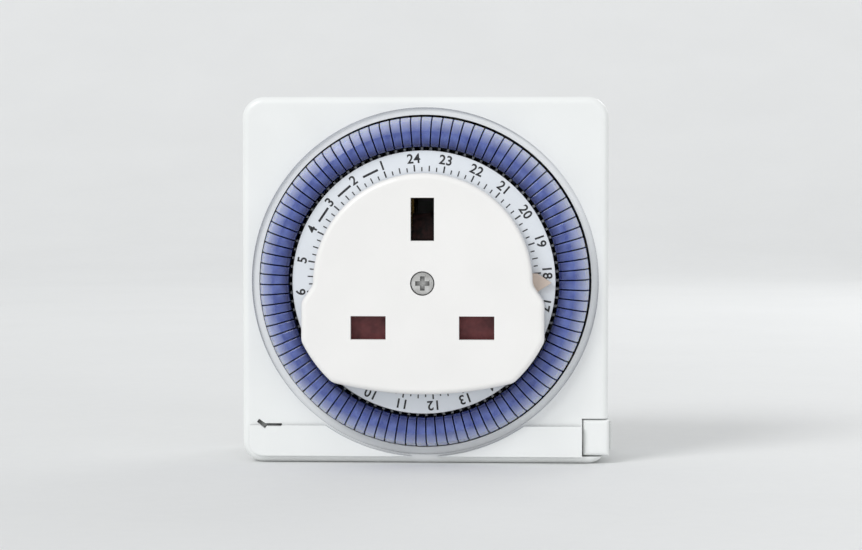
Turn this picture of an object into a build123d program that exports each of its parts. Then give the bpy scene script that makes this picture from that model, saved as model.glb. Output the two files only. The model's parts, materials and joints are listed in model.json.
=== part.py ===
from build123d import *
from math import acos, cos, pi, radians, sin, tan
import os

# A 24-hour plug-in mechanical timer for the 13 A square-pin system, in millimetres.
# The origin is on the dial axis, at the wall face. +Z is up, +X is right seen from
# the front, and the front looks along -Y. "Depth" is the distance out from the wall, so
# a depth d lies at y = -d and the plug pins have negative depths.

# Case
CASE_SIDE = 76.0
CASE_CENTRE_Z = 0.2
CASE_CORNER = 4.5
WALL = 2.0
SPLIT = 20.0
FRONT = 36.0
FRONT_INSIDE = FRONT - 2.2
REAR_EDGE = 1.8
FRONT_EDGE = 1.5
SEAM_EDGE = 0.3
INSIDE = CASE_SIDE / 2 - WALL

# Square-pin system: pins behind, socket in front, on the same three centres
EARTH_Z = 13.1
LIVE_X = 11.1
LIVE_Z = -9.1
EARTH_PIN = (4.0, 8.0)
LIVE_PIN = (6.35, 4.0)
EARTH_LENGTH = 22.7
LIVE_LENGTH = 17.7
SLEEVE_LENGTH = 9.5
SLEEVE_WALL = 0.6
PIN_TAPER = 1.2
EARTH_APERTURE = (4.8, 8.8)
LIVE_APERTURE = (7.2, 4.8)
FLANGE_DEPTH = (WALL, 4.0)
SHEET = 0.8
STRAP_DEPTH = (FLANGE_DEPTH[1], FLANGE_DEPTH[1] + SHEET)

# Socket tower and face
TOWER_RADIUS = 20.4
TOWER_WALL = 1.4
TOWER_TOP = 40.4
PLATE_RADIUS = 26.4
PLATE_DEPTH = (SPLIT, 22.0)
FACE = 45.5
FACE_THICK = 1.6
FACE_WALL = 1.4
FACE_ARC = 22.5
FACE_HALF = 24.9
FACE_SHOULDER_Z = -3.9
FACE_CORNER_REACH = 27.6
FACE_CORNER_ANGLES = (-25.5, -36.5, -47.6)
FACE_BOTTOM = -22.8
FACE_EDGE = 1.2

# Dial: one turn a day, 96 quarter-hour tappets
QUARTERS = 96
PER_HOUR = 4
HOURS = QUARTERS // PER_HOUR
QUARTER_ANGLE = 360 / QUARTERS
MIDNIGHT_ANGLE = 90 + 4.7
DIAL_BORE = TOWER_RADIUS + 0.1
HUB_RADIUS = 22.0
DIAL_BACK = 22.3
DIAL_FACE = 40.0
DISC_THICK = 1.6
SKIRT_RADIUS = 27.1
SKIRT_WALL = 1.5
RIB_REACH = 27.75
RIB_WIDTH = 0.5
RIB_TOP = 38.4
FLANGE_RADIUS = 33.9
FLANGE = (30.0, 31.5)
SLOT_MIDDLE = 30.6
SLOT = (3.8, 1.2)

# Tappets, shown up
TAPPET_INNER = 27.9
TAPPET_OUTER = 34.0
TAPPET_GAP = 0.25
TAPPET_BACK = 34.0
TAPPET_FRONT = 41.5
TAPPET_TAIL = 28.5
STEM = (3.4, 1.0)
OPENING_RADIUS = 34.5

# Gear train from the motor to the dial
DIAL_MODULE = 0.8
TRAIN_MODULE = 0.5
DIAL_TEETH = 64
PINION_TEETH = 12
WHEEL_TEETH = 44
DRIVE_ANGLE = 225.0
IDLER_ANGLE = 94.1
MOTOR_ANGLE = 80.0
DIAL_GEAR_DEPTH = (22.6, 25.2)
WHEEL_DEPTH = (17.0, 19.0)
IDLER_DEPTH = (13.0, 15.0)
GEAR_PIN_RADIUS = 1.0
GEAR_BORE = GEAR_PIN_RADIUS + 0.1
GEAR_HUB = 1.7
MOTOR_EAR_RADIUS = 14.0
MOTOR_RADIUS = 12.0
MOTOR_DEPTH = (2.2, 12.0)

# Switch, under the lower right of the dial
TIP_STEP = -39
TIP_RADIUS = 31.0
TIP_DEPTH = TAPPET_TAIL - 0.1
LEVER_X = (18.3, 21.3)
LEVER_AXIS = (16.0, -9.0)
PLUNGER = (20.0, -20.0)
BLADE_AXIS = (9.0, -30.5)
CONTACT_Z = -16.5
HOUSING_X = (15.5, 24.5)
HOUSING_Z = (-33.0, -13.8)
HOUSING_WALL = 1.2
HOUSING_TOP = 10.4

# Manual slide in the lower right corner of the front case
SLIDE_X = 32.8
SLIDE_Z = (-36.1, -28.6)
SLIDE_DEPTH = (25.4, FRONT)
SLIDE_GAP = 0.2
SLIDE_TRAVEL = 4.0
TONGUE_Z = (-29.55, -28.6)

# Shutter under the socket face; it drops when an earth pin pushes its ramp
SHUTTER_DEPTH = (40.8, 42.2)

# Fasteners
CASE_BOSSES = ((-32.0, 32.5, 2.8), (32.0, 32.5, 2.8), (-32.0, -31.5, 2.8), (28.6, -32.3, 2.3))
CHASSIS_RADIUS = 24.0
CHASSIS_ANGLES = (30, 74, 118, 275)
CASE_SHANK = 1.25
CASE_HEAD = 2.4
CASE_HEAD_DEPTH = 2.4
CHASSIS_SHANK = 0.95
CHASSIS_HEAD = 1.8
SOCKET_HEAD = 2.25
SOCKET_HEAD_DEPTH = FACE - 1.8
FIT = 0.05


def depth(value):
    """Plane parallel to the wall at this depth; extrusions from it run to the front."""
    return Plane.XZ.offset(value)


def block(x, d, z, mode=Mode.ADD):
    """Box between two values on each axis, with d as the two depths."""
    with Locations(((x[0] + x[1]) / 2, -(d[0] + d[1]) / 2, (z[0] + z[1]) / 2)):
        Box(x[1] - x[0], d[1] - d[0], z[1] - z[0], mode=mode)


def post(x, z, radius, d, mode=Mode.ADD):
    """Round post or bore along the depth axis, between two depths."""
    with Locations((x, -(d[0] + d[1]) / 2, z)):
        Cylinder(radius, d[1] - d[0], rotation=(90, 0, 0), mode=mode)


def rod(axis, radius, x, mode=Mode.ADD):
    """Round rod or bore along X, through the point given as depth and height."""
    with Locations(((x[0] + x[1]) / 2, -axis[0], axis[1])):
        Cylinder(radius, x[1] - x[0], rotation=(0, 90, 0), mode=mode)


def polar(radius, angle, centre=(0.0, 0.0)):
    """Point at an angle in degrees from +X towards +Z, seen from the front."""
    return (centre[0] + radius * cos(radians(angle)), centre[1] + radius * sin(radians(angle)))


def span(middle, size):
    """The two ends of a length about its middle."""
    return (middle - size / 2, middle + size / 2)


def gear_outline(teeth, module, first_tooth):
    """Corners of an involute gear about the origin, thinned for running clearance."""
    pitch_radius = module * teeth / 2
    base_radius = pitch_radius * cos(radians(20))
    tip_radius = pitch_radius + 0.85 * module
    root_radius = pitch_radius - 1.15 * module
    start_radius = max(root_radius, base_radius)

    def involute(radius):
        pressure = acos(min(1.0, base_radius / radius))
        return tan(pressure) - pressure

    half_tooth = pi / (2 * teeth) - 0.06 / pitch_radius + involute(pitch_radius)
    radii = [start_radius, (start_radius + tip_radius) / 2, tip_radius]
    if root_radius < base_radius:
        radii.insert(0, root_radius)
    flank = [(radius, half_tooth - involute(max(radius, base_radius))) for radius in radii]
    points = []
    for tooth in range(teeth):
        middle = radians(first_tooth) + 2 * pi * tooth / teeth
        rise = [(radius, middle - half) for radius, half in flank]
        fall = [(radius, middle + half) for radius, half in reversed(flank)]
        points += [(radius * cos(angle), radius * sin(angle)) for radius, angle in rise + fall]
    return points


def gear_disc(centre, teeth, module, first_tooth, d):
    """Toothed disc about a centre, between two depths."""
    with BuildSketch(depth(d[0])) as disc:
        with Locations(centre):
            Polygon(*gear_outline(teeth, module, first_tooth))
    extrude(disc.sketch, amount=d[1] - d[0])


def case_outline(d, inset):
    """Rounded square of the case at a depth, drawn in by the inset."""
    with BuildSketch(depth(d)) as outline:
        with Locations((0, CASE_CENTRE_Z)):
            RectangleRounded(CASE_SIDE - 2 * inset, CASE_SIDE - 2 * inset, CASE_CORNER - inset)
    return outline.sketch


def face_outline(d, inset=0.0):
    """Plug-shaped outline of the socket face: a round head on a wider foot."""
    neck = polar(FACE_ARC, -0.8)
    hip = (FACE_HALF, FACE_SHOULDER_Z)
    knee, middle, heel = [polar(FACE_CORNER_REACH, angle) for angle in FACE_CORNER_ANGLES]
    with BuildSketch(depth(d)) as outline:
        with BuildLine():
            ThreePointArc(neck, (0, FACE_ARC), (-neck[0], neck[1]))
            ThreePointArc(heel, (0, FACE_BOTTOM), (-heel[0], heel[1]))
            for side in (1, -1):
                Line((side * neck[0], neck[1]), (side * hip[0], hip[1]))
                Line((side * hip[0], hip[1]), (side * knee[0], knee[1]))
                ThreePointArc(
                    (side * knee[0], knee[1]), (side * middle[0], middle[1]), (side * heel[0], heel[1])
                )
        make_face()
        fillet(outline.vertices(), 2.5)
        if inset:
            offset(amount=-inset, mode=Mode.REPLACE)
    return outline.sketch


drive_centre = polar((DIAL_TEETH + PINION_TEETH) * DIAL_MODULE / 2, DRIVE_ANGLE)
train_distance = (WHEEL_TEETH + PINION_TEETH) * TRAIN_MODULE / 2
idler_centre = polar(train_distance, IDLER_ANGLE, drive_centre)
motor_centre = polar(train_distance, MOTOR_ANGLE, idler_centre)
motor_ears = [polar(MOTOR_EAR_RADIUS, angle, motor_centre) for angle in (45, 225)]
chassis_points = [polar(CHASSIS_RADIUS, angle) for angle in CHASSIS_ANGLES]
half_pinion_tooth = 180 / PINION_TEETH
lever_posts = ((15.6, 17.2), (22.4, 24.0))
pin_sites = (
    (0.0, EARTH_Z, EARTH_PIN, EARTH_APERTURE),
    (LIVE_X, LIVE_Z, LIVE_PIN, LIVE_APERTURE),
    (-LIVE_X, LIVE_Z, LIVE_PIN, LIVE_APERTURE),
)

# ---------------------------------------------------------------- rear case
with BuildPart() as rear_case:
    extrude(case_outline(0, 0), amount=SPLIT)
    fillet(rear_case.faces().sort_by(Axis.Y)[-1].edges(), REAR_EDGE)
    chamfer(rear_case.faces().sort_by(Axis.Y)[0].edges(), SEAM_EDGE)
    extrude(case_outline(WALL, WALL), amount=SPLIT, mode=Mode.SUBTRACT)
    for x, z, radius in CASE_BOSSES:
        post(x, z, 3.4, (WALL, 5.0))
        post(x, z, radius, (WALL, SPLIT))
    for x, z in chassis_points:
        post(x, z, 2.4, (WALL, SPLIT))
    for x, z in motor_ears:
        post(x, z, 2.0, (WALL, 11.0))
    for centre in (drive_centre, idler_centre):
        post(*centre, 2.6, (WALL, 6.0))
    post(*motor_centre, MOTOR_RADIUS + 0.2, (WALL, SPLIT), Mode.SUBTRACT)
    for x in lever_posts:
        block(x, (WALL, LEVER_AXIS[0] + 2.2), (LEVER_AXIS[1] - 2, LEVER_AXIS[1] + 2))
    for x, z, radius in CASE_BOSSES:
        post(x, z, CASE_HEAD + 0.2, (-1.0, CASE_HEAD_DEPTH), Mode.SUBTRACT)
        post(x, z, CASE_SHANK + 0.15, (0, SPLIT + 1), Mode.SUBTRACT)
    for x, z in chassis_points:
        post(x, z, CHASSIS_SHANK + FIT, (10.0, SPLIT + 1), Mode.SUBTRACT)
    for x, z in motor_ears:
        post(x, z, CHASSIS_SHANK + FIT, (4.0, 12.0), Mode.SUBTRACT)
    for centre in (drive_centre, idler_centre):
        post(*centre, GEAR_PIN_RADIUS + 0.01, (3.0, 7.0), Mode.SUBTRACT)
    rod(LEVER_AXIS, 0.82, (lever_posts[0][0] - 1, lever_posts[1][1] + 1), Mode.SUBTRACT)
    for x, z, pin, aperture in pin_sites:
        block(span(x, pin[0] + 0.1), (-1, WALL + 1), span(z, pin[1] + 0.1), Mode.SUBTRACT)
rear_case.part.label = "rear_case"
export_step(rear_case.part, "parts/rear_case.step")

# --------------------------------------------------------------- front case
LEDGE = 1.2
LEDGE_TOP_Z = -30.0
LEDGE_SIDE = CASE_SIDE - 2 * FRONT_EDGE
NOTCH = (2.2, 0.8)
NOTCH_TAIL = (3.4, 0.5)
STEP_RADIUS = 36.0
notch_floor = SLIDE_DEPTH[0] - SLIDE_TRAVEL - SLIDE_GAP
notch_z = (SLIDE_Z[0] - SLIDE_GAP, SLIDE_Z[1] + SLIDE_GAP)
with BuildPart() as front_case:
    extrude(case_outline(SPLIT, 0), amount=FRONT - SPLIT)
    fillet(front_case.faces().sort_by(Axis.Y)[0].edges(), FRONT_EDGE)
    chamfer(front_case.faces().sort_by(Axis.Y)[-1].edges(), SEAM_EDGE)
    # Ledge along the bottom of the face, broken by the dial opening
    with BuildSketch(depth(FRONT - 1)):
        with Locations((0, CASE_CENTRE_Z)):
            RectangleRounded(LEDGE_SIDE, LEDGE_SIDE, CASE_CORNER - FRONT_EDGE)
        with Locations((SLIDE_X - LEDGE_SIDE / 2, LEDGE_TOP_Z - LEDGE_SIDE / 2)):
            Rectangle(LEDGE_SIDE, LEDGE_SIDE, mode=Mode.INTERSECT)
        Circle(STEP_RADIUS + 0.4, mode=Mode.SUBTRACT)
    extrude(amount=1 + LEDGE)
    extrude(case_outline(SPLIT, WALL), amount=FRONT_INSIDE - SPLIT, mode=Mode.SUBTRACT)
    for x, z, radius in CASE_BOSSES:
        post(x, z, radius, (SPLIT, FRONT_INSIDE + 0.5))
    # Pocket walls round the manual slide
    block((30.8, INSIDE + 0.5), (SPLIT, FRONT - 1), (SLIDE_Z[0] - 0.6, SLIDE_Z[1] + 1.6))
    post(0, 0, OPENING_RADIUS, (SPLIT, FRONT + 2), Mode.SUBTRACT)
    post(0, 0, STEP_RADIUS, (FRONT - 0.6, FRONT + 2), Mode.SUBTRACT)
    block((SLIDE_X - SLIDE_GAP, 40), (notch_floor, FRONT + 2), notch_z, Mode.SUBTRACT)
    block((30, SLIDE_X + 1), (notch_floor, 28.2), (TONGUE_Z[0] - SLIDE_GAP, notch_z[1]), Mode.SUBTRACT)
    # Slanting notch at the left end of the ledge, where a blade opens the case, and its groove
    with BuildSketch(depth(FRONT - 1.0)):
        with Locations(Location((-33.9, -29.7), -35)):
            Rectangle(*NOTCH)
        with Locations((-31.5, -29.9)):
            Rectangle(*NOTCH_TAIL)
    extrude(amount=3, mode=Mode.SUBTRACT)
    for x, z, radius in CASE_BOSSES:
        post(x, z, CASE_SHANK + FIT, (SPLIT - 1, 29.0), Mode.SUBTRACT)
front_case.part.label = "front_case"
export_step(front_case.part, "parts/front_case.step")

# ------------------------------------------------------------- socket base
# Plate under the dial with the insulating tower that the dial turns on
TOWER_BOSS = 3.4
RIB = 1.2
with BuildPart() as socket_base:
    post(0, 0, PLATE_RADIUS, PLATE_DEPTH)
    with BuildSketch(depth(PLATE_DEPTH[1])):
        Circle(TOWER_RADIUS)
        Circle(TOWER_RADIUS - TOWER_WALL, mode=Mode.SUBTRACT)
    extrude(amount=TOWER_TOP - PLATE_DEPTH[1])
    post(0, 0, TOWER_BOSS, (PLATE_DEPTH[1], TOWER_TOP))
    with BuildSketch(depth(PLATE_DEPTH[1])):
        with PolarLocations((TOWER_RADIUS - TOWER_WALL + TOWER_BOSS) / 2, 3, start_angle=30):
            Rectangle(TOWER_RADIUS - TOWER_WALL - TOWER_BOSS + 0.6, RIB)
    extrude(amount=38.6 - PLATE_DEPTH[1])
    post(0, 0, CASE_SHANK + FIT, (31.0, TOWER_TOP + 1), Mode.SUBTRACT)
    # Ways for the three contact straps
    block((-1.7, 1.7), (19, 23), (17.1, 18.3), Mode.SUBTRACT)
    for side in (1, -1):
        block(span(side * 7.4, 1.2), (19, 23), (-10.8, -7.4), Mode.SUBTRACT)
    for x, z in chassis_points:
        post(x, z, CHASSIS_SHANK + FIT, (19, 23), Mode.SUBTRACT)
        post(x, z, CHASSIS_HEAD + 0.1, (20.8, 23), Mode.SUBTRACT)
socket_base.part.label = "socket_base"
export_step(socket_base.part, "parts/socket_base.step")

# ------------------------------------------------------------ socket cover
COVER_BOSS = 3.0
POINTER_X = (20.2, 23.4, 26.3)
POINTER_Z = 1.9
POINTER_DEPTH = (TOWER_TOP, 41.3)
with BuildPart() as socket_cover:
    extrude(face_outline(TOWER_TOP), amount=FACE - TOWER_TOP)
    fillet(socket_cover.faces().sort_by(Axis.Y)[0].edges(), FACE_EDGE)
    cavity = face_outline(TOWER_TOP, FACE_WALL)
    extrude(cavity, amount=FACE - FACE_THICK - TOWER_TOP, mode=Mode.SUBTRACT)
    post(0, 0, COVER_BOSS, (TOWER_TOP, FACE - 1))
    for x, z, pin, aperture in pin_sites:
        block(span(x, aperture[0]), (TOWER_TOP, FACE + 1), span(z, aperture[1]), Mode.SUBTRACT)
    post(0, 0, CASE_SHANK + 0.15, (TOWER_TOP - 1, FACE + 1), Mode.SUBTRACT)
    post(0, 0, SOCKET_HEAD + 0.25, (SOCKET_HEAD_DEPTH, FACE + 1), Mode.SUBTRACT)
    pointer_way = span(0, 2 * (POINTER_Z + FIT))
    block((POINTER_X[0], POINTER_X[2]), (TOWER_TOP - 1, POINTER_DEPTH[1]), pointer_way, Mode.SUBTRACT)
socket_cover.part.label = "socket_cover"
export_step(socket_cover.part, "parts/socket_cover.step")

# Pointer that marks the present time on the dial
with BuildPart() as time_pointer:
    with BuildSketch(depth(POINTER_DEPTH[0])):
        tail, shoulder, tip = POINTER_X
        Polygon(
            (tail, POINTER_Z),
            (shoulder, POINTER_Z),
            (tip, 0),
            (shoulder, -POINTER_Z),
            (tail, -POINTER_Z),
        )
    extrude(amount=POINTER_DEPTH[1] - POINTER_DEPTH[0])
time_pointer.part.label = "time_pointer"
export_step(time_pointer.part, "parts/time_pointer.step")

# --------------------------------------------------------- shutter and spring
BLADE_Z = (-11.8, -6.4)
RAMP_Z = (8.7, 14.3)
SPRING_DEPTH = 42.0
SPRING_RADIUS = 0.9
SPRING_WIRE = 0.2
SPRING_FOOT_Z = -20.9
with BuildPart() as shutter:
    for side in (1, -1):
        block(span(side * 11.1, 8.2), SHUTTER_DEPTH, BLADE_Z)
        block(span(side * 4.4, 1.8), SHUTTER_DEPTH, (BLADE_Z[1] - 0.5, RAMP_Z[0] + 2))
        # Arm inside the live way's inner edge, so that nothing crosses the way when it is open
        block(span(side * 5.4, 3.8), SHUTTER_DEPTH, (BLADE_Z[1] - 2.4, BLADE_Z[1] + 2.2))
    block((-5.3, 5.3), SHUTTER_DEPTH, (BLADE_Z[1], BLADE_Z[1] + 2.2))
    block((-5.3, 5.3), SHUTTER_DEPTH, (RAMP_Z[0], RAMP_Z[0] + 2))
    # Ramp in the earth way: its slope faces the pin that comes in
    with BuildSketch(Plane.YZ.offset(-2.2)):
        Polygon(
            (-SHUTTER_DEPTH[0], RAMP_Z[0]),
            (-SHUTTER_DEPTH[0], RAMP_Z[1]),
            (-SHUTTER_DEPTH[0] - 0.3, RAMP_Z[1]),
            (-43.7, RAMP_Z[0] + 0.5),
            (-43.7, RAMP_Z[0]),
        )
    extrude(amount=4.4)
shutter.part.label = "shutter"
export_step(shutter.part, "parts/shutter.step")

with BuildPart() as shutter_spring:
    coil_plane = Plane(origin=(0, -SPRING_DEPTH, SPRING_FOOT_Z))
    with BuildLine(coil_plane):
        Helix(pitch=1.6, height=BLADE_Z[1] - SPRING_FOOT_Z - 0.8, radius=SPRING_RADIUS)
    with BuildSketch(Plane(origin=(SPRING_RADIUS, -SPRING_DEPTH, SPRING_FOOT_Z), z_dir=(0, 1, 0))):
        Circle(SPRING_WIRE)
    sweep(is_frenet=True)
shutter_spring.part.label = "shutter_spring"
export_step(shutter_spring.part, "parts/shutter_spring.step")

# ------------------------------------------------------------- plug pins
def pin_blank(x, z, size, length):
    """Square plug pin with a tapered end, running back through the rear wall."""
    block(span(x, size[0]), (-length + PIN_TAPER, WALL), span(z, size[1]))
    with BuildSketch(depth(-length + PIN_TAPER)) as root:
        with Locations((x, z)):
            Rectangle(*size)
    extrude(root.sketch, amount=-PIN_TAPER, taper=25)


with BuildPart() as earth_pin:
    pin_blank(0, EARTH_Z, EARTH_PIN, EARTH_LENGTH)
    block((-4, 4), FLANGE_DEPTH, (EARTH_Z - 5.5, EARTH_Z + 5.5))
earth_pin.part.label = "earth_pin"
export_step(earth_pin.part, "parts/earth_pin.step")

sleeve_core = (LIVE_PIN[0] - 2 * SLEEVE_WALL, LIVE_PIN[1] - 2 * SLEEVE_WALL)
for name, side in (("line_pin", 1), ("neutral_pin", -1)):
    with BuildPart() as live_pin:
        pin_blank(side * LIVE_X, LIVE_Z, LIVE_PIN, LIVE_LENGTH)
        block(span(side * LIVE_X, 9), (-SLEEVE_LENGTH, WALL), span(LIVE_Z, 6), Mode.SUBTRACT)
        block(span(side * LIVE_X, sleeve_core[0]), (-SLEEVE_LENGTH, WALL), span(LIVE_Z, sleeve_core[1]))
        block(span(side * LIVE_X, 8.4), FLANGE_DEPTH, span(LIVE_Z, 6.6))
    live_pin.part.label = name
    export_step(live_pin.part, f"parts/{name}.step")

with BuildPart() as pin_sleeves:
    for side in (1, -1):
        block(span(side * LIVE_X, LIVE_PIN[0]), (-SLEEVE_LENGTH, WALL), span(LIVE_Z, LIVE_PIN[1]))
    for side in (1, -1):
        core_x = span(side * LIVE_X, sleeve_core[0])
        block(core_x, (-SLEEVE_LENGTH - 1, WALL + 1), span(LIVE_Z, sleeve_core[1]), Mode.SUBTRACT)
pin_sleeves.part.label = "pin_sleeves"
export_step(pin_sleeves.part, "parts/pin_sleeves.step")

# --------------------------------------------- socket contacts and busbars
JAW = 2.15
with BuildPart() as earth_contact:
    for side in (1, -1):
        block(span(side * (JAW + SHEET / 2), SHEET), (24, 38), (9.1, 18.1))
    block((-JAW, JAW), (24, 38), (17.3, 18.1))
    block((-1.5, 1.5), (FLANGE_DEPTH[1], 24.5), (17.3, 18.1))
    block((-1.5, 1.5), STRAP_DEPTH, (9.0, 18.1))
earth_contact.part.label = "earth_contact"
export_step(earth_contact.part, "parts/earth_contact.step")


def live_jaws(side, strap_foot):
    """Sprung jaws that open outwards, with a strap down to the given depth."""
    for jaw in (1, -1):
        block(span(side * 10.6, 7.2), (29, 38), span(LIVE_Z + jaw * (JAW + SHEET / 2), SHEET))
    block(span(side * 7.4, SHEET), (29, 38), span(LIVE_Z, 2 * JAW + 2 * SHEET))
    block(span(side * 7.4, SHEET), (strap_foot, 30), span(LIVE_Z, 3.0))


LINE_LINK = (12.0, 12.0 + SHEET)
with BuildPart() as neutral_contact:
    live_jaws(-1, FLANGE_DEPTH[1])
    block((-14.0, -7.0), STRAP_DEPTH, span(LIVE_Z, 3.0))
neutral_contact.part.label = "neutral_contact"
export_step(neutral_contact.part, "parts/neutral_contact.step")

with BuildPart() as line_contact:
    live_jaws(1, LINE_LINK[1])
    block((7.0, 14.5), (LINE_LINK[1], LINE_LINK[1] + SHEET), span(LIVE_Z, 3.0))
line_contact.part.label = "line_contact"
export_step(line_contact.part, "parts/line_contact.step")

# Live strap from the line pin to the pivot of the moving contact
EAR_X = (17.0, 17.8)
with BuildPart() as line_input_strap:
    block((7.2, 10.2), STRAP_DEPTH, (-31.6, -6.0))
    block((7.2, EAR_X[1]), STRAP_DEPTH, (-31.6, -28.8))
    block(EAR_X, (STRAP_DEPTH[0], 10.2), (-31.6, -29.4))
    rod(BLADE_AXIS, 0.6 + FIT, (16, 19), Mode.SUBTRACT)
line_input_strap.part.label = "line_input_strap"
export_step(line_input_strap.part, "parts/line_input_strap.step")

# Switched strap from the fixed contact up to the line socket contact
with BuildPart() as line_output_strap:
    block((11.5, 21.5), STRAP_DEPTH, (-18.0, -15.2))
    post(PLUNGER[0], CONTACT_Z, 1.2, (STRAP_DEPTH[1], 5.35))
    block((11.5, 12.3), (STRAP_DEPTH[0], LINE_LINK[1]), (-18.0, -15.2))
    block((11.5, 14.5), LINE_LINK, (-18.0, -7.6))
line_output_strap.part.label = "line_output_strap"
export_step(line_output_strap.part, "parts/line_output_strap.step")

# -------------------------------------------------------------------- dial
with BuildPart() as dial_ring:
    with BuildSketch(depth(DIAL_BACK)):
        Circle(HUB_RADIUS)
    extrude(amount=DIAL_FACE - DIAL_BACK)
    gear_disc((0, 0), DIAL_TEETH, DIAL_MODULE, DRIVE_ANGLE, DIAL_GEAR_DEPTH)
    # Flange with a guide slot for every tappet stem
    with BuildSketch(depth(FLANGE[0])):
        Circle(FLANGE_RADIUS)
        with PolarLocations(SLOT_MIDDLE, QUARTERS, start_angle=MIDNIGHT_ANGLE + QUARTER_ANGLE / 2):
            Rectangle(*SLOT, mode=Mode.SUBTRACT)
    extrude(amount=FLANGE[1] - FLANGE[0])
    # Skirt with a rib in every gap between tappets
    with BuildSketch(depth(FLANGE[1])):
        Circle(SKIRT_RADIUS)
        Circle(SKIRT_RADIUS - SKIRT_WALL, mode=Mode.SUBTRACT)
    extrude(amount=DIAL_FACE - FLANGE[1])
    with BuildSketch(depth(FLANGE[1])):
        with PolarLocations((SKIRT_RADIUS + RIB_REACH) / 2 - 0.2, QUARTERS, start_angle=MIDNIGHT_ANGLE):
            Rectangle(RIB_REACH - SKIRT_RADIUS + 0.4, RIB_WIDTH)
    extrude(amount=RIB_TOP - FLANGE[1])
    post(0, 0, SKIRT_RADIUS - 0.5, (DIAL_FACE - DISC_THICK, DIAL_FACE))
    post(0, 0, DIAL_BORE, (DIAL_BACK - 1, DIAL_FACE + 1), Mode.SUBTRACT)
dial_ring.part.label = "dial_ring"
export_step(dial_ring.part, "parts/dial_ring.step")

# One tappet, on the +X side of the dial: a wedge head with a sloped outer edge, and a stem
half_wedge = radians(QUARTER_ANGLE / 2)
inner_half = TAPPET_INNER * half_wedge - TAPPET_GAP / 2
outer_half = TAPPET_OUTER * half_wedge - TAPPET_GAP / 2
with BuildPart() as tappet:
    with BuildSketch(depth(TAPPET_BACK)):
        Polygon(
            (TAPPET_INNER, -inner_half),
            (TAPPET_OUTER, -outer_half),
            (TAPPET_OUTER, outer_half),
            (TAPPET_INNER, inner_half),
        )
    extrude(amount=TAPPET_FRONT - TAPPET_BACK)
    with BuildSketch(Plane.XY.offset(-2)):
        Polygon(
            (TAPPET_INNER, -TAPPET_BACK),
            (TAPPET_OUTER, -TAPPET_BACK),
            (TAPPET_OUTER, -38.2),
            (33.2, -40.3),
            (31.2, -TAPPET_FRONT),
            (28.5, -TAPPET_FRONT),
            (TAPPET_INNER, -40.9),
        )
    extrude(amount=4, mode=Mode.INTERSECT)
    block(span(SLOT_MIDDLE, STEM[0]), (TAPPET_TAIL, TAPPET_BACK), span(0, STEM[1]))

# The four tappets of each hour move together as one named group
front_axis = Axis((0, 0, 0), (0, -1, 0))
for hour in range(HOURS):
    with BuildPart() as tappets:
        for quarter in range(PER_HOUR):
            step = hour * PER_HOUR + quarter
            add(tappet.part.rotate(front_axis, MIDNIGHT_ANGLE + QUARTER_ANGLE * (step + 0.5)))
    tappets.part.label = f"tappets_{hour + 1:02d}"
    export_step(tappets.part, f"parts/tappets_{hour + 1:02d}.step")

# -------------------------------------------------------------- gear train
with BuildPart() as drive_gear:
    toward_dial = DRIVE_ANGLE - 180
    gear_disc(drive_centre, PINION_TEETH, DIAL_MODULE, toward_dial + half_pinion_tooth, DIAL_GEAR_DEPTH)
    gear_disc(drive_centre, WHEEL_TEETH, TRAIN_MODULE, IDLER_ANGLE, WHEEL_DEPTH)
    post(*drive_centre, GEAR_HUB, (6.2, DIAL_GEAR_DEPTH[0]))
    post(*drive_centre, GEAR_BORE, (5, 27), Mode.SUBTRACT)
drive_gear.part.label = "drive_gear"
export_step(drive_gear.part, "parts/drive_gear.step")

with BuildPart() as idler_gear:
    toward_drive = IDLER_ANGLE + 180
    gear_disc(idler_centre, PINION_TEETH, TRAIN_MODULE, toward_drive + half_pinion_tooth, (16.8, 19.2))
    gear_disc(idler_centre, WHEEL_TEETH, TRAIN_MODULE, MOTOR_ANGLE, IDLER_DEPTH)
    post(*idler_centre, GEAR_HUB, (6.2, 16.8))
    post(*idler_centre, GEAR_BORE, (5, 21), Mode.SUBTRACT)
idler_gear.part.label = "idler_gear"
export_step(idler_gear.part, "parts/idler_gear.step")

with BuildPart() as motor_pinion:
    toward_idler = MOTOR_ANGLE + 180
    gear_disc(motor_centre, PINION_TEETH, TRAIN_MODULE, toward_idler + half_pinion_tooth, (12.8, 15.2))
    post(*motor_centre, GEAR_PIN_RADIUS, (10.0, 15.8))
motor_pinion.part.label = "motor_pinion"
export_step(motor_pinion.part, "parts/motor_pinion.step")

# Steel pins with a turned head that keeps each gear on
with BuildPart() as gear_pins:
    for centre, gear_top in ((drive_centre, DIAL_GEAR_DEPTH[1]), (idler_centre, 19.2)):
        post(*centre, GEAR_PIN_RADIUS, (3.0, gear_top + 0.2))
        post(*centre, 1.8, (gear_top + 0.15, gear_top + 0.55))
gear_pins.part.label = "gear_pins"
export_step(gear_pins.part, "parts/gear_pins.step")

# ------------------------------------------------------------------- motor
CUP_WALL = 0.8
with BuildPart() as motor_cup:
    post(*motor_centre, MOTOR_RADIUS, (MOTOR_DEPTH[0], MOTOR_DEPTH[1] - 1))
    fillet(motor_cup.faces().sort_by(Axis.Y)[-1].edges(), 0.6)
    post(*motor_centre, MOTOR_RADIUS - CUP_WALL, (MOTOR_DEPTH[0] + CUP_WALL, MOTOR_DEPTH[1]), Mode.SUBTRACT)
motor_cup.part.label = "motor_cup"
export_step(motor_cup.part, "parts/motor_cup.step")

with BuildPart() as motor_coil:
    post(*motor_centre, MOTOR_RADIUS - CUP_WALL - 0.3, (3.2, 10.4))
    post(*motor_centre, MOTOR_RADIUS, (4.2, 9.4), Mode.SUBTRACT)
    post(*motor_centre, MOTOR_RADIUS - CUP_WALL - 1.0, (4.2, 9.4))
    post(*motor_centre, 4.0, (2, 11), Mode.SUBTRACT)
motor_coil.part.label = "motor_coil"
export_step(motor_coil.part, "parts/motor_coil.step")

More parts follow.
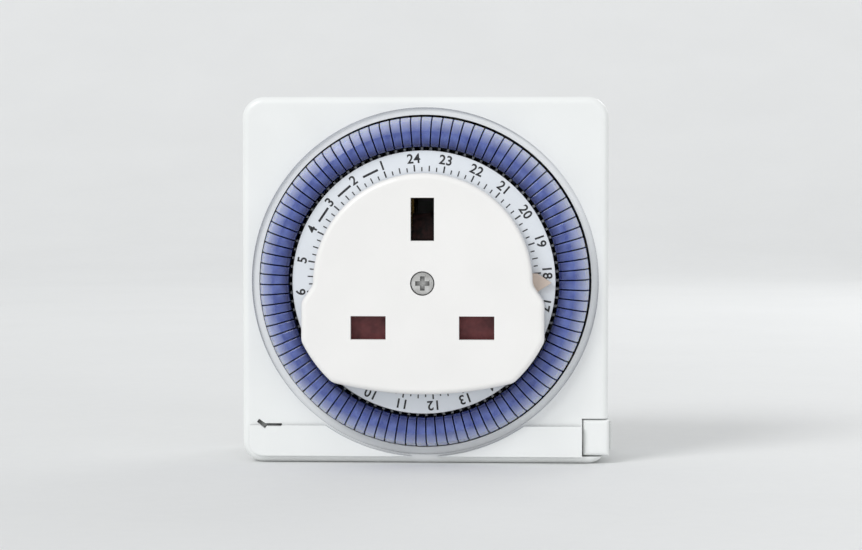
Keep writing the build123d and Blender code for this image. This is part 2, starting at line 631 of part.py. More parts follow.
with BuildPart() as motor_cover:
    with BuildSketch(depth(MOTOR_DEPTH[1] - 1)):
        with Locations(motor_centre):
            Circle(MOTOR_RADIUS)
            SlotCenterToCenter(2 * MOTOR_EAR_RADIUS, 4.4, rotation=45)
            Circle(GEAR_BORE, mode=Mode.SUBTRACT)
        with Locations(*motor_ears):
            Circle(CHASSIS_SHANK + FIT, mode=Mode.SUBTRACT)
    extrude(amount=1)
motor_cover.part.label = "motor_cover"
export_step(motor_cover.part, "parts/motor_cover.step")

LEAD = 0.45
with BuildPart() as motor_leads:
    for points in (
        ((-7.4, -7.0, 6.2), (-1.0, -8.0, 1.5), (8.6, -5.4, -7.4)),
        ((-8.4, -7.0, 2.0), (-5.0, -8.0, -2.0), (-9.0, -5.4, -8.0)),
    ):
        with BuildLine() as lead_path:
            Spline(*points)
        with BuildSketch(Plane(origin=lead_path.line @ 0, z_dir=lead_path.line % 0)):
            Circle(LEAD)
        sweep(path=lead_path.line)
motor_leads.part.label = "motor_leads"
export_step(motor_leads.part, "parts/motor_leads.step")

# ------------------------------------------------------------------ switch
with BuildPart() as switch_housing:
    block(HOUSING_X, (WALL, HOUSING_TOP), HOUSING_Z)
    block(
        (HOUSING_X[0] + HOUSING_WALL, HOUSING_X[1] - HOUSING_WALL),
        (WALL + HOUSING_WALL, HOUSING_TOP + 1),
        (HOUSING_Z[0] + HOUSING_WALL, HOUSING_Z[1] - HOUSING_WALL),
        Mode.SUBTRACT,
    )
    strap_way = (STRAP_DEPTH[0] - 0.1, STRAP_DEPTH[1] + 0.1)
    for z in ((-31.7, -28.7), (-18.1, -15.1)):
        block((HOUSING_X[0] - 1, HOUSING_X[0] + 2), strap_way, z, Mode.SUBTRACT)
    rod(BLADE_AXIS, 0.62, (HOUSING_X[0] - 1, HOUSING_X[1] + 1), Mode.SUBTRACT)
switch_housing.part.label = "switch_housing"
export_step(switch_housing.part, "parts/switch_housing.step")

with BuildPart() as switch_lid:
    block(HOUSING_X, (HOUSING_TOP, HOUSING_TOP + 1), HOUSING_Z)
    block(span(PLUNGER[0], 2.6), (HOUSING_TOP - 1, HOUSING_TOP + 2), span(PLUNGER[1], 2.2), Mode.SUBTRACT)
switch_lid.part.label = "switch_lid"
export_step(switch_lid.part, "parts/switch_lid.step")

with BuildPart() as blade_pin:
    rod(BLADE_AXIS, 0.6, HOUSING_X)
blade_pin.part.label = "blade_pin"
export_step(blade_pin.part, "parts/blade_pin.step")

with BuildPart() as contact_blade:
    blade_x = span(PLUNGER[0], 3.0)
    rod(BLADE_AXIS, 1.2, blade_x)
    block(blade_x, span(BLADE_AXIS[0], 0.6), (BLADE_AXIS[1], CONTACT_Z + 1.4))
    post(PLUNGER[0], CONTACT_Z, 1.2, (BLADE_AXIS[0] - 1.1, BLADE_AXIS[0] + 0.7))
    rod(BLADE_AXIS, 0.7, (blade_x[0] - 1, blade_x[1] + 1), Mode.SUBTRACT)
contact_blade.part.label = "contact_blade"
export_step(contact_blade.part, "parts/contact_blade.step")

# Plunger with pointed ends and a collar under the lid
lever_back = LEVER_AXIS[0] - 1
plunger_nose = BLADE_AXIS[0] + 0.45
with BuildPart() as switch_plunger:
    with BuildSketch(Plane.YZ.offset(PLUNGER[0] - 1.2)):
        with Locations((0, PLUNGER[1])):
            Polygon(
                (-plunger_nose, -0.3),
                (-plunger_nose - 0.4, -1),
                (-lever_back + 0.55, -1),
                (-lever_back + 0.15, -0.3),
                (-lever_back + 0.15, 0.3),
                (-lever_back + 0.55, 1),
                (-plunger_nose - 0.4, 1),
                (-plunger_nose, 0.3),
            )
    extrude(amount=2.4)
    block(span(PLUNGER[0], 3.4), (9.9, 10.3), span(PLUNGER[1], 2.4))
switch_plunger.part.label = "switch_plunger"
export_step(switch_plunger.part, "parts/switch_plunger.step")

# Feeler lever: its tip stands between two tappet stems, where the dial carries them over it
tip_angle = MIDNIGHT_ANGLE + QUARTER_ANGLE * TIP_STEP
tip = polar(TIP_RADIUS, tip_angle)
with BuildPart() as switch_lever:
    rod(LEVER_AXIS, 2.0, (17.6, 22.0))
    block(LEVER_X, span(LEVER_AXIS[0], 2.0), (-29.5, LEVER_AXIS[1]))
    with BuildSketch(depth(LEVER_AXIS[0])):
        with Locations(Location(tip, tip_angle)):
            Rectangle(2.4, 2.0)
    extrude(amount=25.8 - LEVER_AXIS[0])
    with BuildSketch(depth(25.8)):
        with Locations(Location(tip, tip_angle)):
            Rectangle(1.4, 0.7)
    extrude(amount=TIP_DEPTH - 25.8)
    block(LEVER_X, (LEVER_AXIS[0], 21.2), (-29.5, -27.6))
    rod(LEVER_AXIS, 0.9, (17, 23), Mode.SUBTRACT)
switch_lever.part.label = "switch_lever"
export_step(switch_lever.part, "parts/switch_lever.step")

with BuildPart() as lever_pin:
    rod(LEVER_AXIS, 0.8, (lever_posts[0][0], lever_posts[1][1]))
lever_pin.part.label = "lever_pin"
export_step(lever_pin.part, "parts/lever_pin.step")

# Manual slide: thumb block in the corner notch, with a tongue that reaches over the lever
with BuildPart() as override_slider:
    block((SLIDE_X, CASE_SIDE / 2 + 0.2), SLIDE_DEPTH, SLIDE_Z)
    slide_front = override_slider.faces().sort_by(Axis.Y)[0]
    fillet(slide_front.edges(), 0.8)
    block((19.0, SLIDE_X + 0.5), (SLIDE_DEPTH[0], 28.0), TONGUE_Z)
    for ridge in (28.0, 30.5, 33.0):
        block((CASE_SIDE / 2, CASE_SIDE / 2 + 0.7), span(ridge, 0.9), (SLIDE_Z[0] + 1, SLIDE_Z[1] - 1))
override_slider.part.label = "override_slider"
export_step(override_slider.part, "parts/override_slider.step")

# --------------------------------------------------------------- fasteners
def screw(x, z, shank, head, head_depth, tip_depth, toward_front):
    """Pan screw with a cross recess; toward_front is 1 with its head at the front."""
    seat, top = head_depth
    slot = 0.42 * head
    post(x, z, shank, sorted((tip_depth, seat)))
    post(x, z, head, sorted((seat, top)))
    recess = sorted((top, top - toward_front * 0.8))
    block(span(x, 1.3 * head), recess, span(z, slot), Mode.SUBTRACT)
    block(span(x, slot), recess, span(z, 1.3 * head), Mode.SUBTRACT)


with BuildPart() as case_screws:
    for x, z, radius in CASE_BOSSES:
        screw(x, z, CASE_SHANK, CASE_HEAD, (CASE_HEAD_DEPTH, 0.7), 27.5, -1)
case_screws.part.label = "case_screws"
export_step(case_screws.part, "parts/case_screws.step")

with BuildPart() as chassis_screws:
    for x, z in chassis_points:
        screw(x, z, CHASSIS_SHANK, CHASSIS_HEAD, (20.8, 21.8), 14.0, 1)
    for x, z in motor_ears:
        screw(x, z, CHASSIS_SHANK, CHASSIS_HEAD, (12.0, 12.9), 5.2, 1)
chassis_screws.part.label = "chassis_screws"
export_step(chassis_screws.part, "parts/chassis_screws.step")

with BuildPart() as socket_screw:
    screw(0, 0, CASE_SHANK, SOCKET_HEAD, (SOCKET_HEAD_DEPTH, FACE - 0.3), 32.0, 1)
socket_screw.part.label = "socket_screw"
export_step(socket_screw.part, "parts/socket_screw.step")
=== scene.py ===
import json
import math

import bmesh
import bpy
from mathutils import Matrix, Vector


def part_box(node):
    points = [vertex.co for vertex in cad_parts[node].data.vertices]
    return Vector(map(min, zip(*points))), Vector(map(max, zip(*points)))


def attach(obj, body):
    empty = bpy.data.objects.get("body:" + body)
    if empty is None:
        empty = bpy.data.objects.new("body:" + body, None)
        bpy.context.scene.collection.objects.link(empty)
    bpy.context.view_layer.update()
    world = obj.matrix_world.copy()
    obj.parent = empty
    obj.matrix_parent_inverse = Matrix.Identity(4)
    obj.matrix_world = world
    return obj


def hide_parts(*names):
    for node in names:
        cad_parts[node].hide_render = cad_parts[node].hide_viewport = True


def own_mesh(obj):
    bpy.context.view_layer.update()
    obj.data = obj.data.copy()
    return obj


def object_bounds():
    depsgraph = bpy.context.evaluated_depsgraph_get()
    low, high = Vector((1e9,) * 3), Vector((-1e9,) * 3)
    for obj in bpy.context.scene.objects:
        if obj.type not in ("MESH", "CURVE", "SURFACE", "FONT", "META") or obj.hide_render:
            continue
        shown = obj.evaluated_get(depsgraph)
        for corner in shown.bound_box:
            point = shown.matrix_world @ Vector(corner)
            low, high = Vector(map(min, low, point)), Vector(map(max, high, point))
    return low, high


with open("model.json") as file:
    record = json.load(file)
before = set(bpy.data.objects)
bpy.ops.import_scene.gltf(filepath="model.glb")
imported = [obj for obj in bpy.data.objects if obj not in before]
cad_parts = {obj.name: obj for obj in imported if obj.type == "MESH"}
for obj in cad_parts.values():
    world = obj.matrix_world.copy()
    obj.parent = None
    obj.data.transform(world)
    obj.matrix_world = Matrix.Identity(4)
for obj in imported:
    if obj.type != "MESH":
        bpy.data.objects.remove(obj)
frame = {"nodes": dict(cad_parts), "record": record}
cad_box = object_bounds()
nodes = frame["nodes"]

# ------------------------------------------------------------------ measures
# Everything is in metres. The dial axis runs along Y through the origin. Hour 24 stands at
# MIDNIGHT, FACE_ARC is the radius of the socket face, and DIAL_FACE is the front of the dial.
MM = 0.001
HOURS = 24
QUARTERS = 96
MIDNIGHT = math.radians(94.7)
FACE_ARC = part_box("socket_cover")[1].z
DIAL_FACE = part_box("dial_ring")[0].y

# Print on the dial
INK = 0.03 * MM
TICK_START = FACE_ARC + 0.35 * MM
HOUR_TICK = (1.35 * MM, 0.30 * MM)
HALF_TICK = (1.15 * MM, 0.24 * MM)
QUARTER_TICK = (0.85 * MM, 0.24 * MM)
NUMERAL_SIZE = 2.7 * MM
NUMERAL_RADIUS = 25.4 * MM
NUMERAL_SPACING = 1.05
NUMERAL_WEIGHT = 0.02
DASHED_HOURS = (1, 2, 3)
DASH_PLACE = 0.43
DASH_RADIUS = 24.9 * MM
DASH_LENGTH = 3.4 * MM
DASH_WIDTH = 0.45 * MM

# Shutter spring
SPRING_WIRE = 0.2 * MM
SPRING_TURNS = 9
COIL_STEPS = 16
COIL_SIDES = 8

# Rounded edges of the tappets
TAPPET_BEVEL = 0.14 * MM
WELD_GAP = 0.002 * MM
FLAT_ANGLE = math.radians(0.6)
SHARP_ANGLE = math.radians(35)

# Studio
FLOOR_HALF = 3.0
SWEEP_START = 0.8
SWEEP_RADIUS = 0.9
SWEEP_STEPS = 24
CAMERA_DISTANCE = 0.62
CAMERA_LENS = 120
CAMERA_AZIMUTH = 3
CAMERA_ELEVATION = 2.6


def on_dial(radius, angle, lift=0.0):
    """Point on the dial face, by its angle from +X towards +Z."""
    return Vector((radius * math.cos(angle), DIAL_FACE - lift, radius * math.sin(angle)))


# ----------------------------------------------------------------- materials
class Shader:
    """Builds one node material round a Principled shader."""

    def __init__(self, name):
        self.material = bpy.data.materials.new(name)
        self.material.use_nodes = True
        self.tree = self.material.node_tree
        self.bsdf = self.tree.nodes["Principled BSDF"]
        self.place = self.add("ShaderNodeTexCoord").outputs["Object"]

    def add(self, kind, **settings):
        made = self.tree.nodes.new(kind)
        for key, value in settings.items():
            setattr(made, key, value)
        return made

    def wire(self, source, target):
        """Links an output, or sets a plain value, on an input."""
        if isinstance(source, bpy.types.NodeSocket):
            self.tree.links.new(source, target)
        else:
            target.default_value = source

    def noise(self, grain, detail=3.0, stretch=(1, 1, 1)):
        """Noise whose lumps are about one grain across, in metres."""
        spread = self.add("ShaderNodeMapping")
        self.wire(self.place, spread.inputs["Vector"])
        spread.inputs["Scale"].default_value = [s / grain for s in stretch]
        made = self.add("ShaderNodeTexNoise")
        self.wire(spread.outputs["Vector"], made.inputs["Vector"])
        made.inputs["Scale"].default_value = 1.0
        made.inputs["Detail"].default_value = detail
        return made.outputs["Fac"]

    def from_axis(self):
        """Distance from the dial axis, in metres."""
        flat = self.add("ShaderNodeVectorMath", operation="MULTIPLY")
        self.wire(self.place, flat.inputs[0])
        flat.inputs[1].default_value = (1, 0, 1)
        length = self.add("ShaderNodeVectorMath", operation="LENGTH")
        self.wire(flat.outputs["Vector"], length.inputs[0])
        return length.outputs["Value"]

    def height(self):
        """Height above the dial axis, in metres."""
        parts = self.add("ShaderNodeSeparateXYZ")
        self.wire(self.place, parts.inputs["Vector"])
        return parts.outputs["Z"]

    def ramp(self, value, low, high, out_low, out_high):
        """Maps low to high onto out_low to out_high, clamped."""
        made = self.add("ShaderNodeMapRange", clamp=True)
        self.wire(value, made.inputs["Value"])
        for key, number in (
            ("From Min", low), ("From Max", high), ("To Min", out_low), ("To Max", out_high)
        ):
            made.inputs[key].default_value = number
        return made.outputs["Result"]

    def mix(self, share, first, second):
        made = self.add("ShaderNodeMixRGB")
        self.wire(share, made.inputs["Fac"])
        self.wire(first, made.inputs["Color1"])
        self.wire(second, made.inputs["Color2"])
        return made.outputs["Color"]

    def edges(self, radius):
        """1 along convex and concave edges, 0 on flat ground."""
        rounded = self.add("ShaderNodeBevel", samples=4)
        rounded.inputs["Radius"].default_value = radius
        flat = self.add("ShaderNodeNewGeometry")
        facing = self.add("ShaderNodeVectorMath", operation="DOT_PRODUCT")
        self.wire(rounded.outputs["Normal"], facing.inputs[0])
        self.wire(flat.outputs["Normal"], facing.inputs[1])
        return self.ramp(facing.outputs["Value"], 0.99, 0.85, 0.0, 1.0)

    def hollows(self, reach, tight=0.35, open_air=0.9, own=False):
        """1 deep in a crevice, 0 in the open; own looks only at the piece itself."""
        made = self.add("ShaderNodeAmbientOcclusion", samples=4, only_local=own)
        made.inputs["Distance"].default_value = reach
        return self.ramp(made.outputs["AO"], tight, open_air, 1.0, 0.0)

    def bump(self, height, depth, strength=0.6):
        made = self.add("ShaderNodeBump")
        made.inputs["Strength"].default_value = strength
        made.inputs["Distance"].default_value = depth
        self.wire(height, made.inputs["Height"])
        self.wire(made.outputs["Normal"], self.bsdf.inputs["Normal"])


def rgb(red, green, blue):
    """A colour given as sRGB bytes, as linear RGBA."""
    def linear(byte):
        share = byte / 255
        return share / 12.92 if share <= 0.04045 else ((share + 0.055) / 1.055) ** 2.4
    return (linear(red), linear(green), linear(blue), 1.0)


def scaled(colour, factor):
    """A colour made darker or lighter, held below 1."""
    return tuple(min(1.0, channel * factor) for channel in colour[:3]) + (1.0,)


def plastic(name, colour, rough, texture=0.012 * MM, coat=0.0, soft=0.0, slot_open=0.45):
    """Moulded plastic: fine texture, uneven sheen, rubbed edges, painted shade in crevices,
    near-black painted shade deep in slots.
    """
    s = Shader(name)
    mottled = s.mix(s.ramp(s.noise(12 * MM, 1.0), 0.3, 0.7, 0.0, 1.0), scaled(colour, 0.97), colour)
    rubbed = s.mix(s.ramp(s.edges(0.25 * MM), 0, 1, 0, 0.25), mottled, scaled(colour, 1.25))
    # painted shade: darker in crevices, found by ambient occlusion
    crevice_shade = s.mix(s.ramp(s.hollows(1.2 * MM), 0, 1, 0, 0.14), rubbed, scaled(colour, 0.35))
    # painted shade: near black deep in slots and notches, found by ambient occlusion on the piece
    # itself
    slot_shade = s.hollows(2.5 * MM, slot_open / 3, slot_open, own=True)
    s.wire(s.mix(slot_shade, crevice_shade, scaled(colour, 0.04)), s.bsdf.inputs["Base Color"])
    sheen = s.ramp(s.noise(14 * MM, 1.0), 0.1, 0.9, rough - 0.04, rough + 0.05)
    s.wire(sheen, s.bsdf.inputs["Roughness"])
    s.bsdf.inputs["IOR"].default_value = 1.5
    s.bsdf.inputs["Coat Weight"].default_value = coat
    s.bsdf.inputs["Coat Roughness"].default_value = 0.12
    s.bsdf.inputs["Subsurface Weight"].default_value = soft
    s.bsdf.inputs["Subsurface Radius"].default_value = (0.6 * MM, 0.6 * MM, 0.6 * MM)
    s.bsdf.inputs["Subsurface Scale"].default_value = 1.0
    s.bump(s.noise(0.25 * MM, 4.0), texture)
    return s.material


def metal(name, colour, tarnish, rough, stretch=(1, 1, 1), reach=1.5 * MM, open_air=0.9):
    """Worked metal: drawn lines, cloudy tarnish, brighter edges and painted shade in crevices and
    deep hollows.
    """
    s = Shader(name)
    clouded = s.mix(s.ramp(s.noise(3 * MM, 6.0), 0.4, 0.7, 0.0, 0.7), colour, tarnish)
    bright = s.mix(s.ramp(s.edges(0.2 * MM), 0, 1, 0, 0.6), clouded, scaled(colour, 1.2))
    # painted shade: near black in crevices and hollows, found by ambient occlusion
    hollow_shade = s.ramp(s.hollows(reach, open_air=open_air), 0, 1, 0, 0.9)
    s.wire(s.mix(hollow_shade, bright, scaled(tarnish, 0.12)), s.bsdf.inputs["Base Color"])
    s.bsdf.inputs["Metallic"].default_value = 1.0
    lines = s.noise(0.5 * MM, 4.0, stretch)
    s.wire(s.ramp(lines, 0.3, 0.7, rough - 0.07, rough + 0.12), s.bsdf.inputs["Roughness"])
    s.bump(lines, 0.01 * MM)
    return s.material


def tappet_plastic():
    """Tinted plastic, mid blue: painted shade (navy) at the inner edge, painted light (paler) where
    the wedge slopes away, painted highlights on the edges and painted shade in the gaps between
    tappets.
    """
    s = Shader("tappet_blue")
    clouds = s.ramp(s.noise(2.2 * MM, 2.0), 0.35, 0.65, 0.0, 1.0)
    shade = s.mix(clouds, rgb(68, 84, 152), rgb(96, 112, 176))
    radius = s.from_axis()
    # painted shade: deep navy at the inner edge of the ring
    inner = s.mix(s.ramp(radius, 28.3 * MM, 30.0 * MM, 0.92, 0.0), shade, rgb(16, 32, 92))
    # painted light: paler towards the rim where the wedge slopes away
    outer = s.mix(s.ramp(radius, 31.0 * MM, 34.0 * MM, 0.0, 0.9), inner, rgb(192, 198, 220))
    # painted highlight: paler along the tappet edges
    edge_highlight = s.mix(s.ramp(s.edges(0.3 * MM), 0, 1, 0, 0.25), outer, rgb(130, 138, 190))
    # painted shade: dark navy in the narrow gaps between tappets, found by ambient occlusion
    gap_shade = s.mix(s.ramp(s.hollows(0.6 * MM), 0, 1, 0, 0.3), edge_highlight, rgb(20, 28, 84))
    s.wire(gap_shade, s.bsdf.inputs["Base Color"])
    s.wire(s.ramp(s.noise(1.5 * MM), 0.3, 0.7, 0.24, 0.38), s.bsdf.inputs["Roughness"])
    s.bsdf.inputs["Coat Weight"].default_value = 0.35
    s.bsdf.inputs["Coat Roughness"].default_value = 0.1
    s.bsdf.inputs["Subsurface Weight"].default_value = 0.6
    s.bsdf.inputs["Subsurface Radius"].default_value = (0.5 * MM, 0.7 * MM, 1.6 * MM)
    s.bsdf.inputs["Subsurface Scale"].default_value = 1.0
    s.bump(s.noise(0.2 * MM), 0.01 * MM)
    return s.material


def shutter_plastic():
    """Brown shutter blades; the ramp in the earth way is much darker, painted shade, and less
    shiny.
    """
    s = Shader("shutter_brown")
    clouds = s.ramp(s.noise(1.6 * MM, 4.0), 0.3, 0.7, 0.0, 1.0)
    mottled = s.mix(clouds, rgb(96, 40, 44), rgb(124, 58, 60))
    # painted shade: near-black browns over the ramp in the earth way, mottled by noise
    shade_mottle = s.ramp(s.noise(1.1 * MM, 3.0), 0.4, 0.7, 0.0, 1.0)
    earth_ramp_shade = s.mix(shade_mottle, rgb(10, 7, 7), rgb(40, 22, 21))
    ramp_share = s.ramp(s.height(), 5 * MM, 7 * MM, 0.0, 1.0)
    s.wire(s.mix(ramp_share, mottled, earth_ramp_shade), s.bsdf.inputs["Base Color"])
    s.wire(s.ramp(s.noise(0.9 * MM), 0.3, 0.7, 0.38, 0.55), s.bsdf.inputs["Roughness"])
    s.wire(s.ramp(ramp_share, 0, 1, 0.5, 0.08), s.bsdf.inputs["Specular IOR Level"])
    s.bump(s.noise(0.3 * MM, 4.0), 0.02 * MM)
    return s.material


def ink():
    """Pad-printed black with a slightly broken film."""
    s = Shader("dial_ink")
    film = s.ramp(s.noise(0.12 * MM, 4.0), 0.35, 0.6, 0.0, 1.0)
    s.wire(s.mix(film, rgb(58, 58, 62), rgb(20, 20, 24)), s.bsdf.inputs["Base Color"])
    s.wire(s.ramp(film, 0, 1, 0.65, 0.45), s.bsdf.inputs["Roughness"])
    return s.material


def floor_paint():
    """Matt white paper, very slightly uneven."""
    s = Shader("floor_paint")
    paper = s.mix(s.noise(60 * MM), rgb(226, 227, 227), rgb(232, 233, 233))
    s.wire(paper, s.bsdf.inputs["Base Color"])
    s.wire(s.ramp(s.noise(4 * MM), 0.3, 0.7, 0.55, 0.7), s.bsdf.inputs["Roughness"])
    return s.material


looks = {
    "case_white": plastic("case_white", rgb(244, 246, 245), 0.34, texture=0.005 * MM, coat=0.15),
    "face_white": plastic("face_white", rgb(247, 246, 244), 0.30, texture=0.004 * MM, coat=0.2),
    # slot_open 0.9 spreads the near-black painted slot shade into the gaps between the dial's ribs
    "dial_white": plastic("dial_white", rgb(234, 239, 245), 0.42, slot_open=0.9),
    "tappet_blue": tappet_plastic(),
    "shutter_brown": shutter_plastic(),
    "base_grey": plastic("base_grey", rgb(190, 192, 194), 0.5),
    "pointer_tan": plastic("pointer_tan", rgb(206, 190, 178), 0.35, coat=0.2),
    "gear_nylon": plastic("gear_nylon", rgb(236, 233, 220), 0.4, soft=0.2),
    "switch_black": plastic("switch_black", rgb(34, 34, 36), 0.45),
    "sleeve_black": plastic("sleeve_black", rgb(26, 26, 28), 0.4),
    "pin_brass": metal("pin_brass", rgb(214, 184, 112), rgb(158, 122, 62), 0.22, (1, 0.05, 1)),
    # reach 9 mm spreads the painted shade over the contacts deep in the socket
    "contact_brass": metal(
        "contact_brass", rgb(206, 172, 98), rgb(150, 112, 60), 0.26, (1, 0.05, 1), reach=9 * MM
    ),
    "screw_steel": metal("screw_steel", rgb(236, 236, 234), rgb(170, 168, 164), 0.34, open_air=1.0),
    "pin_steel": metal("pin_steel", rgb(176, 176, 180), rgb(112, 112, 114), 0.2),
    "motor_steel": metal("motor_steel", rgb(190, 190, 192), rgb(128, 126, 122), 0.3),
    "coil_bobbin": plastic("coil_bobbin", rgb(226, 214, 176), 0.5),
    "lead_sleeve": plastic("lead_sleeve", rgb(150, 34, 30), 0.4),
}


def paint(piece, material):
    piece.data.materials.clear()
    piece.data.materials.append(material)


def soften(piece, width):
    """Rounds the CAD edges of a piece with modifiers, leaving its own mesh alone."""
    weld = piece.modifiers.new("weld", "WELD")
    weld.merge_threshold = WELD_GAP
    flat = piece.modifiers.new("flat", "DECIMATE")
    flat.decimate_type = "DISSOLVE"
    flat.angle_limit = FLAT_ANGLE
    bevel = piece.modifiers.new("bevel", "BEVEL")
    bevel.width = width
    bevel.segments = 2
    bevel.limit_method = "ANGLE"
    bevel.angle_limit = SHARP_ANGLE
    normals = piece.modifiers.new("normals", "WEIGHTED_NORMAL")
    normals.keep_sharp = True


for row in frame["record"]["subparts"]:
    paint(nodes[row["node"]], looks[row["material_slot"]])

for name in sorted(nodes):
    if name.startswith("tappets_"):
        soften(nodes[name], TAPPET_BEVEL)


# ---------------------------------------------------------------- dial print
def piece(name, mesh, body, slot_name, material):
    """Adds a new visible piece that rides on a body."""
    made = bpy.data.objects.new(name, mesh)
    bpy.context.scene.collection.objects.link(made)
    paint(made, material)
    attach(made, body)
    return made


def bar(shape, angle, inner, outer, width):
    """Adds one narrow bar of ink across the dial at an angle."""
    turn = Matrix.Rotation(-angle, 4, "Y")
    half = width / 2
    corners = [(inner, -half), (outer, -half), (outer, half), (inner, half)]
    back = [shape.verts.new(turn @ Vector((x, DIAL_FACE, z))) for x, z in corners]
    front = [shape.verts.new(turn @ Vector((x, DIAL_FACE - INK, z))) for x, z in corners]
    shape.faces.new(front)
    shape.faces.new(back[::-1])
    for k in range(len(corners)):
        after = (k + 1) % len(corners)
        shape.faces.new((back[k], back[after], front[after], front[k]))


def tick_marks():
    """One tick for each quarter hour, longer on the hour, and a dash after each of three hours."""
    shape = bmesh.new()
    for quarter in range(QUARTERS):
        on_hour = quarter % (QUARTERS // HOURS) == 0
        on_half = quarter % 2 == 0
        length, width = HOUR_TICK if on_hour else HALF_TICK if on_half else QUARTER_TICK
        angle = MIDNIGHT + quarter * math.tau / QUARTERS
        bar(shape, angle, TICK_START, TICK_START + length, width)
    for hour in DASHED_HOURS:
        angle = MIDNIGHT + (hour + DASH_PLACE) * math.tau / HOURS
        bar(shape, angle, DASH_RADIUS - DASH_WIDTH / 2, DASH_RADIUS + DASH_WIDTH / 2, DASH_LENGTH)
    bmesh.ops.recalc_face_normals(shape, faces=shape.faces)
    mesh = bpy.data.meshes.new("dial_ticks")
    shape.to_mesh(mesh)
    shape.free()
    return mesh


def numeral_mesh(text, size):
    """Flat numeral as a shallow closed mesh, centred on the origin, drawn in the XY plane."""
    curve = bpy.data.curves.new("numeral", "FONT")
    curve.body = text
    curve.size = size
    curve.extrude = INK / 2
    curve.align_x = "CENTER"
    curve.align_y = "CENTER"
    curve.space_character = NUMERAL_SPACING
    curve.offset = NUMERAL_WEIGHT * size
    holder = bpy.data.objects.new("numeral", curve)
    bpy.context.scene.collection.objects.link(holder)
    bpy.context.view_layer.update()
    mesh = bpy.data.meshes.new_from_object(holder)
    bpy.data.objects.remove(holder)
    bpy.data.curves.remove(curve)
    return mesh


def numerals():
    """Hours 1 to 24, counted counter-clockwise, with their tops outwards."""
    shape = bmesh.new()
    upright = Matrix.Rotation(math.radians(90), 4, "X")
    for hour in range(1, HOURS + 1):
        glyphs = numeral_mesh(str(hour), NUMERAL_SIZE)
        angle = MIDNIGHT + hour * math.tau / HOURS
        turn = Matrix.Rotation(math.radians(90) - angle, 4, "Y")
        place = Matrix.Translation(on_dial(NUMERAL_RADIUS, angle, INK / 2))
        glyphs.transform(place @ turn @ upright)
        shape.from_mesh(glyphs)
        bpy.data.meshes.remove(glyphs)
    mesh = bpy.data.meshes.new("dial_numerals")
    shape.to_mesh(mesh)
    shape.free()
    return mesh


print_ink = ink()
piece("dial_ticks", tick_marks(), "dial", "dial_white", print_ink)
piece("dial_numerals", numerals(), "dial", "dial_white", print_ink)


# ------------------------------------------------------------ shutter spring
def coil(low, high, wire, turns):
    """Closed helical wire that fills the box from low to high, with its axis along Z."""
    shape = bmesh.new()
    middle = (low + high) / 2
    radius = (high.x - low.x) / 2 - wire
    length = high.z - low.z - 2 * wire
    rings = []
    for step in range(turns * COIL_STEPS + 1):
        share = step / (turns * COIL_STEPS)
        angle = share * turns * math.tau
        outward = Vector((math.cos(angle), math.sin(angle), 0))
        centre = Vector((middle.x, middle.y, low.z + wire + share * length)) + outward * radius
        around = [k * math.tau / COIL_SIDES for k in range(COIL_SIDES)]
        rings.append([
            shape.verts.new(centre + (outward * math.cos(a) + Vector((0, 0, math.sin(a)))) * wire)
            for a in around
        ])
    for first, second in zip(rings, rings[1:]):
        for k in range(COIL_SIDES):
            after = (k + 1) % COIL_SIDES
            shape.faces.new((first[k], first[after], second[after], second[k])).smooth = True
    shape.faces.new(rings[0])
    shape.faces.new(rings[-1][::-1])
    bmesh.ops.recalc_face_normals(shape, faces=shape.faces)
    mesh = bpy.data.meshes.new("spring_coil")
    shape.to_mesh(mesh)
    shape.free()
    return mesh


spring_low, spring_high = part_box("shutter_spring")
spring_foot = (spring_low + spring_high) / 2
spring_foot.z = spring_low.z
coil_mesh = coil(spring_low, spring_high, SPRING_WIRE, SPRING_TURNS)
spring = piece("spring_coil", coil_mesh, "case", "pin_steel", looks["pin_steel"])
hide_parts("shutter_spring")
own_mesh(spring)


# --------------------------------------------------------------------- stage
def floor():
    """Seamless paper: flat under the timer, then sweeping up far behind it."""
    profile = [(-FLOOR_HALF, 0.0)]
    for k in range(SWEEP_STEPS + 1):
        angle = k / SWEEP_STEPS * math.pi / 2
        profile.append((
            SWEEP_START + SWEEP_RADIUS * math.sin(angle), SWEEP_RADIUS * (1 - math.cos(angle))
        ))
    profile.append((SWEEP_START + SWEEP_RADIUS, FLOOR_HALF))
    shape = bmesh.new()
    left = [shape.verts.new((-FLOOR_HALF, y, z)) for y, z in profile]
    right = [shape.verts.new((FLOOR_HALF, y, z)) for y, z in profile]
    for k in range(len(profile) - 1):
        shape.faces.new((left[k], right[k], right[k + 1], left[k + 1])).smooth = True
    mesh = bpy.data.meshes.new("floor")
    shape.to_mesh(mesh)
    shape.free()
    made = bpy.data.objects.new("floor", mesh)
    made.location = (0, 0, cad_box[0].z)
    bpy.context.scene.collection.objects.link(made)
    paint(made, floor_paint())


def area_light(name, place, size, power, target):
    """Round soft light that faces a target."""
    data = bpy.data.lights.new(name, "AREA")
    data.shape = "DISK"
    data.size = size
    data.energy = power
    made = bpy.data.objects.new(name, data)
    made.location = place
    made.rotation_euler = (Vector(target) - Vector(place)).to_track_quat("-Z", "Y").to_euler()
    bpy.context.scene.collection.objects.link(made)


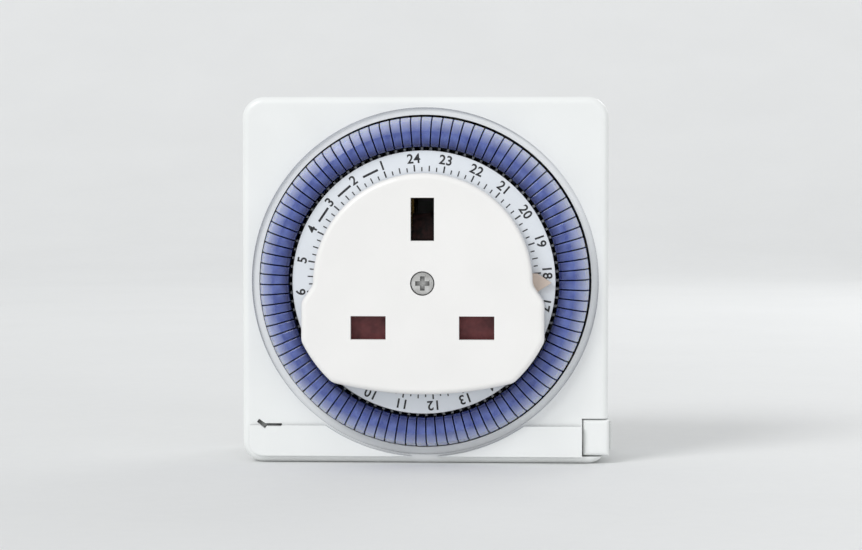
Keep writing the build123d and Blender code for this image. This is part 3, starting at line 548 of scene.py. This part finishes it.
def sun_light(name, direction, strength, spread):
    """Parallel light from a direction, which lights the floor evenly."""
    data = bpy.data.lights.new(name, "SUN")
    data.energy = strength
    data.angle = math.radians(spread)
    made = bpy.data.objects.new(name, data)
    made.rotation_euler = Vector(direction).to_track_quat("Z", "Y").to_euler()
    bpy.context.scene.collection.objects.link(made)


def sky(colour, glow, seen):
    """Even surrounding light, with its own brightness where the camera sees it."""
    world = bpy.data.worlds.new("studio")
    world.use_nodes = True
    tree = world.node_tree
    lighting = tree.nodes["Background"]
    backdrop = tree.nodes.new("ShaderNodeBackground")
    for shader, strength in ((lighting, glow), (backdrop, seen)):
        shader.inputs["Color"].default_value = colour
        shader.inputs["Strength"].default_value = strength
    choice = tree.nodes.new("ShaderNodeMixShader")
    path = tree.nodes.new("ShaderNodeLightPath")
    tree.links.new(path.outputs["Is Camera Ray"], choice.inputs["Fac"])
    tree.links.new(lighting.outputs["Background"], choice.inputs[1])
    tree.links.new(backdrop.outputs["Background"], choice.inputs[2])
    tree.links.new(choice.outputs["Shader"], tree.nodes["World Output"].inputs["Surface"])
    bpy.context.scene.world = world


def camera(target, distance, lens, azimuth, elevation):
    """Looks at a target from degrees to the right of the front and degrees above it."""
    data = bpy.data.cameras.new("camera")
    data.lens = lens
    made = bpy.data.objects.new("camera", data)
    turn, rise = math.radians(azimuth), math.radians(elevation)
    level = math.cos(rise)
    back = Vector((math.sin(turn) * level, -math.cos(turn) * level, math.sin(rise)))
    made.location = target + back * distance
    made.rotation_euler = (-back).to_track_quat("-Z", "Y").to_euler()
    bpy.context.scene.collection.objects.link(made)
    bpy.context.scene.camera = made


middle = (cad_box[0] + cad_box[1]) / 2
floor()
sun_light("key", direction=(-0.55, -0.70, 0.72), strength=1.2, spread=24)
area_light("fill", place=(0.55, -0.60, 0.15), size=0.45, power=0.5, target=middle)
area_light("back", place=(0.35, 0.60, 0.35), size=0.40, power=0.8, target=middle)
sky(colour=(0.94, 0.95, 0.96, 1.0), glow=0.66, seen=0.74)
aim = Vector((0, middle.y, middle.z))
camera(aim, CAMERA_DISTANCE, CAMERA_LENS, CAMERA_AZIMUTH, CAMERA_ELEVATION)
bpy.context.scene.view_settings.view_transform = "Standard"
